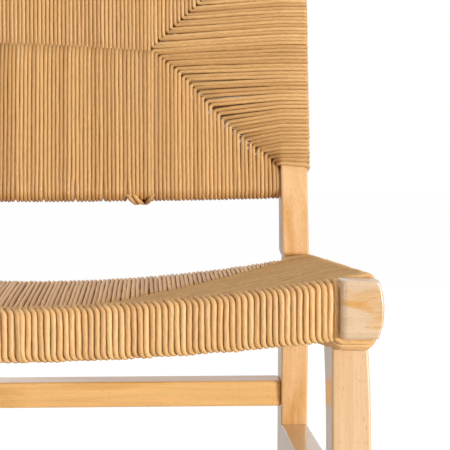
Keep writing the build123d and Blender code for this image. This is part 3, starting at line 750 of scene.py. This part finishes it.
def backLines():
    lines = []
    rng = random.Random(back["seed"])
    count = back["cords"]
    middle = (back["railNear"] + back["railFar"]) / 2
    toFront = (onBack(0, -1, 0) - onBack(0, 0, 0)).normalized()
    along = (onBack(0, 0, 1) - onBack(0, 0, 0)).normalized()
    for side in (1, -1):
        ridge = ridgeAt(side * back["ridgeEnd"])
        for rail, start in ((back["bottom"], back["bottom"][1]), (back["top"], back["top"][0])):
            isLow = rail is back["bottom"]
            startX = weave["halfInner"] - back["swell"] * start / back["length"] - back["clear"]
            for i in range(count):
                share = (i + 0.5) / count
                x = startX + (back["ridgeEnd"] - startX) * share
                s = start + (ridge - start) * share
                turnAt = s + mitreSway(share) if isLow else s
                rise = back["postRise"]
                onPost = s + (rise[0] + (rise[1] - rise[0]) * share if isLow else rise[1] * share)
                half = back["cornerHalf"] + (back["ridgeHalf"] - back["cornerHalf"]) * share - backRadius
                near, far = middle - half, middle + half
                section = backRailSection(x, *rail, isLow)
                behind = s + back["farShift"] * min(1.0, back["farGrowth"] * share)
                cross = [onBack(strandShift(x * side, v), u, v)
                         for u, v in tautHalf(section, (near, turnAt), (far, behind))]
                around = tautHalf(postSection(s), (x, near), (x, far))
                drop = back["lastDrop"][i] if isLow and i < len(back["lastDrop"]) else 0.0
                outward = weave["halfOuter"] - startX
                aside = [onBack(side * u, v, onPost - drop * max(
                    0.0, (u - startX) / outward) ** back["dropCurve"]) for u, v in around[1:-1]]
                aside = [cross[0]] + aside + [cross[-1]]
                # neighbours crowd in pairs near the mitre, with dark gaps between the pairs
                crowd = (0.5 if i % 2 else -0.5) * back["crowding"] * rng.uniform(0.2, 1.0) * mm
                # from the corner to the ridge the slide turns from sideways to upright
                upright = min(1.0, back["slideTurn"] * share)
                slide = along * (crowd if isLow else -crowd) * upright
                slide += Vector((side * crowd, 0, 0)) * (1.0 - upright)
                loop = closeLoop(cross, aside, (back["bulge"],) * 2, toFront, slide,
                                 back["turnReach"], back["turnDip"])
                lines.append((loop, True))
    number = back["middleCords"]
    half = back["ridgeHalf"] - backRadius
    ridgeReach = back["ridgeEnd"] + back["ridgeOver"]
    pitch = 2 * ridgeReach / number
    for rail, direction in ((back["bottom"], -1), (back["top"], 1)):
        # the loops of the two halves interlock along the ridge
        for i in range(number):
            x = -ridgeReach + pitch * (i + 0.5)
            faded = min(1.0, (ridgeReach - abs(x)) / back["interlockFade"])
            turnX = x + direction * pitch / 4 * faded
            s = ridgeAt(x) - direction * back["interlock"]
            section = backRailSection(x, *rail, direction < 0)
            near, far = (middle - half, s), (middle + half, s + back["farShift"])
            path = [onBack(strandShift(x, v), u, v) for u, v in tautHalf(section, near, far)]
            path[0], path[-1] = onBack(turnX, *near), onBack(turnX, *far)
            upper = divide(path[:2], longestTop, back["bulge"], toFront)
            lower = divide(path[-2:], longestLow)[1:]
            lines.append(((upper + path[2:-1] + lower)[::-1], True))
    lines += [(divide(tuckLine(*ends), back["tuckStep"]), False) for ends in back["tucks"]]
    return lines


backWeave = sweepCords("backCordWeave", backLines(), {
    "Cord Diameter": back["diameter"] * mm, "Waviness": 1.3 * mm, "Plumpness": 0.16,
    "Sides": 6, "Seed": 9, "Material": makeCord("twistedPaperCordOfBack", "back")})
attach(backWeave, "root")
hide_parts("back_weave")


stage = {
    # the floor's size is in metres
    "floorSize": 60.0, "floorColour": "#F4F3F1", "floorWhite": 0.75, "whiteStrength": 1.2,
    "worldStrength": 0.33,
}
# place and target in metres, size, power in watts
lights = {
    "key": ((4.6, -3.9, 0.5), (0.1, 0.0, 0.35), (0.7, 0.7), 202.0),
    "top": ((0.0, -0.6, 3.0), (0.0, 0.0, 0.0), (2.4, 1.8), 25.0),
    "low": ((3.0, -3.3, 0.48), (0.0, 0.3, 0.2), (0.9, 0.4), 74.0),
    "rear": ((-1.4, 4.2, 2.0), (0.0, 0.0, 0.4), (2.4, 1.6), 20.0),
    "fill": ((-3.7, -2.4, 0.4), (0.0, 0.0, 0.3), (2.0, 0.7), 30.0),
}


def whiteForCamera(tree, surface, share):
    # the camera sees mostly plain white and a little of the lit surface, other rays see it as it is
    path = addNode(tree, "ShaderNodeLightPath")
    amount = addNode(tree, "ShaderNodeMath", {"operation": "MULTIPLY"}, {
        0: path.outputs["Is Camera Ray"], 1: share})
    white = addNode(tree, "ShaderNodeEmission", inputs={
        "Color": grey(1), "Strength": stage["whiteStrength"]})
    mix = addNode(tree, "ShaderNodeMixShader", inputs={0: amount.outputs[0]})
    tree.links.new(surface, mix.inputs[1])
    tree.links.new(white.outputs[0], mix.inputs[2])
    return mix.outputs[0]


def makeFloor():
    half = stage["floorSize"] / 2
    mesh = bpy.data.meshes.new("floor")
    mesh.from_pydata([(-half, -half, 0), (half, -half, 0), (half, half, 0), (-half, half, 0)], [],
                     [(0, 1, 2, 3)])
    floor = bpy.data.objects.new("floor", mesh)
    bpy.context.scene.collection.objects.link(floor)
    material = bpy.data.materials.new("palePaintedFloor")
    material.use_nodes = True
    tree = material.node_tree
    tree.nodes.clear()
    paint = addNode(tree, "ShaderNodeBsdfPrincipled", inputs={
        "Base Color": hexColour(stage["floorColour"]), "Roughness": 0.8})
    seen = whiteForCamera(tree, paint.outputs[0], stage["floorWhite"])
    addNode(tree, "ShaderNodeOutputMaterial", inputs={"Surface": seen})
    mesh.materials.append(material)


def makeWorld():
    world = bpy.data.worlds.new("studio")
    bpy.context.scene.world = world
    world.use_nodes = True
    tree = world.node_tree
    tree.nodes.clear()
    path = addNode(tree, "ShaderNodeLightPath")
    seen = addNode(tree, "ShaderNodeMath", {"operation": "MAXIMUM"}, {
        0: path.outputs["Is Camera Ray"], 1: path.outputs["Is Glossy Ray"]})
    strength = addNode(tree, "ShaderNodeMapRange", inputs={
        "Value": seen.outputs[0], "To Min": stage["worldStrength"], "To Max": 1.0})
    sky = addNode(tree, "ShaderNodeBackground", inputs={
        "Color": grey(1), "Strength": strength.outputs[0]})
    addNode(tree, "ShaderNodeOutputWorld", inputs={"Surface": sky.outputs[0]})


def addPanelLight(name, place, target, size, power):
    data = bpy.data.lights.new(name, "AREA")
    data.shape = "RECTANGLE"
    data.size, data.size_y = size
    data.energy = power
    lamp = bpy.data.objects.new(name, data)
    bpy.context.scene.collection.objects.link(lamp)
    lamp.location = place
    lamp.rotation_euler = (Vector(target) - Vector(place)).to_track_quat("-Z", "Y").to_euler()


def addCamera():
    view = {"place": (106.7, -1091.0, 537.0), "yaw": 2.81, "pitch": -2.15, "roll": -0.06,
            "focal": 1567.8, "frame": 450}
    data = bpy.data.cameras.new("camera")
    data.sensor_fit = "HORIZONTAL"
    data.sensor_width = 36.0
    data.lens = view["focal"] / view["frame"] * data.sensor_width
    data.clip_start, data.clip_end = 0.05, 60.0
    camera = bpy.data.objects.new("camera", data)
    bpy.context.scene.collection.objects.link(camera)
    camera.location = toScene(*view["place"])
    yaw, pitch = math.radians(view["yaw"]), math.radians(view["pitch"])
    forward = Vector((math.sin(yaw) * math.cos(pitch), math.cos(yaw) * math.cos(pitch), math.sin(pitch)))
    aim = forward.to_track_quat("-Z", "Y").to_matrix().to_4x4()
    spin = Matrix.Rotation(math.radians(view["roll"]), 4, "Z")
    camera.rotation_mode = "QUATERNION"
    camera.rotation_quaternion = (aim @ spin).to_quaternion()
    bpy.context.scene.camera = camera


makeFloor()
makeWorld()
for lightName, light in lights.items():
    addPanelLight(lightName, *light)
addCamera()
bpy.context.scene.view_settings.view_transform = "Standard"
print("stage ready")
